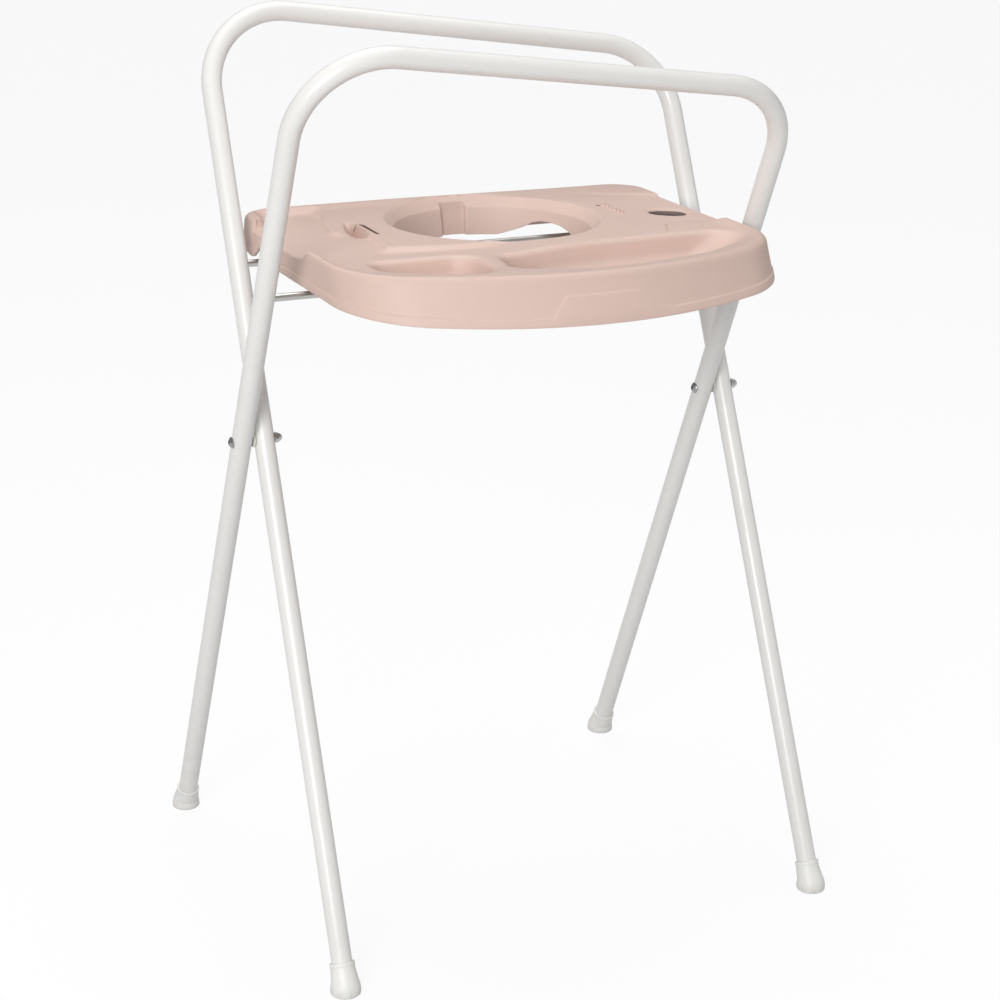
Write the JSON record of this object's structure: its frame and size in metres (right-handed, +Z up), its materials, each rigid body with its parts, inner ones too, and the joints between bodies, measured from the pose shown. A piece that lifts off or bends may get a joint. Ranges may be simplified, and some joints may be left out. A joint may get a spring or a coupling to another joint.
{
  "type": "baby bath stand",
  "caption": "Folding stand for a baby bath: bent tube frames crossed like scissors, cross rods, foot caps and a moulded storage tray with a round drain hole.",
  "frame": {"origin": "on the floor, at the middle of the open stand's bounding box", "axes": "+X to the right, +Y to the rear, +Z up; the tray's bowed edge is in front"},
  "size_m": [0.625, 0.54, 0.9682],
  "materials": {
    "frame_tube": "satin white powder coat on steel tube",
    "cross_rod": "zinc-plated steel rod",
    "foot_cap": "milky white moulded plastic",
    "pivot_screw": "zinc-plated steel",
    "pivot_washer": "white plastic",
    "pivot_nut": "zinc-plated steel",
    "tray": "satin moulded plastic, powder pink with a beige cast"
  },
  "bodies": {
    "rear_bar_body": {"rear_bar_frame": "frame_tube", "rear_cross_rod": "cross_rod", "front_left_foot": "foot_cap", "front_right_foot": "foot_cap", "left_pivot_screw": "pivot_screw", "right_pivot_screw": "pivot_screw", "left_pivot_washer": "pivot_washer", "right_pivot_washer": "pivot_washer", "left_pivot_nut": "pivot_nut", "right_pivot_nut": "pivot_nut"},
    "front_bar_body": {"front_bar_frame": "frame_tube", "front_cross_rod": "cross_rod", "rear_left_foot": "foot_cap", "rear_right_foot": "foot_cap"},
    "tray_body": {"tray": "tray"}
  },
  "joints": [
    {"name": "frame_fold", "type": "hinge", "parent": "rear_bar_body", "child": "front_bar_body", "pos_m": [0, 0.0127, 0.535], "axis": [-1, 0, 0], "range_deg": [0, 32]},
    {"name": "tray_swing", "type": "hinge", "parent": "front_bar_body", "child": "tray_body", "pos_m": [0, -0.06568, 0.70698], "axis": [1, 0, 0], "range_deg": [0, 96]}
  ],
  "couplings": [
    {"joint": "tray_swing", "follows": "frame_fold", "ratio": 3}
  ]
}
